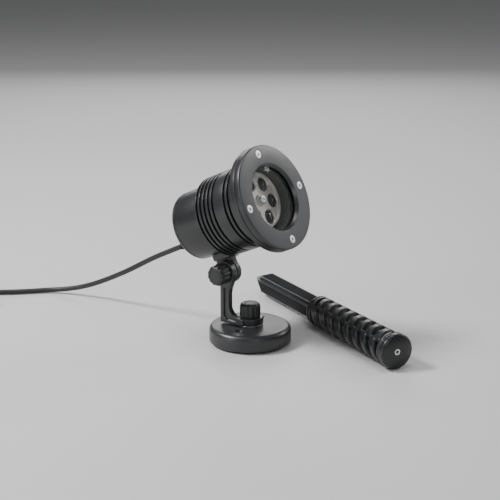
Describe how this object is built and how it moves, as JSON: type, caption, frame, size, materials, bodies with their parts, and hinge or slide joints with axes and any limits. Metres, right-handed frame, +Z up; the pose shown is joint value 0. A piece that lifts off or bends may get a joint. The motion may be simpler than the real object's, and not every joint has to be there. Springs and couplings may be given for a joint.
{
  "type": "garden light projector with ground stake",
  "caption": "Finned round spotlight projector on a tilting bracket and disc base, with its mains lead and a ribbed ground stake lying beside it",
  "frame": {"origin": "centre of the base's underside, on the surface it stands on", "axes": "+Z up; the lamp head points along -Y and upwards, its lead leaves along +Y; +X is to the right seen from behind the front flange"},
  "size_m": [0.3366, 0.5539, 0.2045],
  "materials": {
    "black_coat": "cast aluminium, fine black powder coat",
    "grey_coat": "turned cast aluminium, satin charcoal coat",
    "knob_plastic": "moulded black ABS",
    "plated_steel": "zinc plated steel",
    "bare_aluminium": "pressed aluminium sheet",
    "soft_rubber": "black rubber",
    "lead_sheath": "black rubber sheath, satin",
    "plug_plastic": "moulded black plug",
    "clear_glass": "clear polished glass",
    "lens_glass": "dark domed lens",
    "wheel_plate": "silver lacquered moulding",
    "circuit_board": "green solder resist",
    "stake_plastic": "moulded black polypropylene"
  },
  "bodies": {
    "base": {"base_disc": "black_coat", "base_pad": "soft_rubber", "pan_bolt": "plated_steel", "pan_washer": "plated_steel"},
    "arm": {"arm": "black_coat", "power_lead": "lead_sheath", "lead_coil": "lead_sheath", "lead_tail": "lead_sheath", "plug_body": "plug_plastic", "plug_pin_1": "plated_steel", "plug_pin_2": "plated_steel"},
    "head": {"body_tube": "black_coat", "cable_gland": "knob_plastic", "condenser_plate": "clear_glass", "driver_board": "circuit_board", "driver_transformer": "knob_plastic", "flange_screw_1": "plated_steel", "flange_screw_2": "plated_steel", "flange_screw_3": "plated_steel", "flange_screw_4": "plated_steel", "front_flange": "grey_coat", "head_lug": "black_coat", "led_1": "clear_glass", "led_2": "clear_glass", "led_3": "clear_glass", "led_4": "clear_glass", "led_board": "circuit_board", "lug_screw_1": "plated_steel", "lug_screw_2": "plated_steel", "motor_bracket": "bare_aluminium", "radio_module": "circuit_board", "rear_cover": "black_coat", "rear_cover_screw_1": "plated_steel", "rear_cover_screw_2": "plated_steel", "rear_cover_screw_3": "plated_steel", "rear_cover_screw_4": "plated_steel", "rear_housing": "black_coat", "strain_relief": "soft_rubber", "tilt_bolt": "plated_steel", "tilt_rosette": "plated_steel", "wheel_motor": "plated_steel", "window_gasket": "soft_rubber", "window_glass": "clear_glass"},
    "pan_knob": {"pan_knob": "knob_plastic"},
    "tilt_knob": {"tilt_knob": "knob_plastic"},
    "lens_wheel": {"lens_wheel": "wheel_plate", "wheel_screw": "plated_steel", "wheel_lens_1": "lens_glass", "wheel_lens_2": "lens_glass", "wheel_lens_3": "lens_glass", "wheel_lens_4": "lens_glass", "wheel_lens_5": "lens_glass", "wheel_lens_6": "lens_glass"},
    "stake": {"stake_body": "stake_plastic", "stake_insert": "plated_steel"}
  },
  "joints": [
    {"name": "pan", "type": "hinge", "parent": "base", "child": "arm", "pos_m": [0, 0, 0.0234], "axis": [0, 0, 1], "range_deg": [-90, 90]},
    {"name": "tilt", "type": "hinge", "parent": "arm", "child": "head", "pos_m": [0, 0.0226, 0.0723], "axis": [-1, 0, 0], "range_deg": [-45, 45], "deforming": ["power_lead"]},
    {"name": "pan_knob_turn", "type": "hinge", "parent": "arm", "child": "pan_knob", "pos_m": [0, 0, 0.0344], "axis": [0, 0, 1], "range_deg": [0, 360]},
    {"name": "tilt_knob_turn", "type": "hinge", "parent": "arm", "child": "tilt_knob", "pos_m": [-0.0225, 0.0226, 0.0723], "axis": [-1, 0, 0], "range_deg": [0, 360]},
    {"name": "wheel_spin", "type": "hinge", "parent": "head", "child": "lens_wheel", "pos_m": [0, -0.01244, 0.15023], "axis": [0, -0.9121, 0.4099], "continuous": true},
    {"name": "stake_lift", "type": "slide", "parent": "base", "child": "stake", "axis": [0, 0, 1], "range_m": [0, 0.25]}
  ]
}
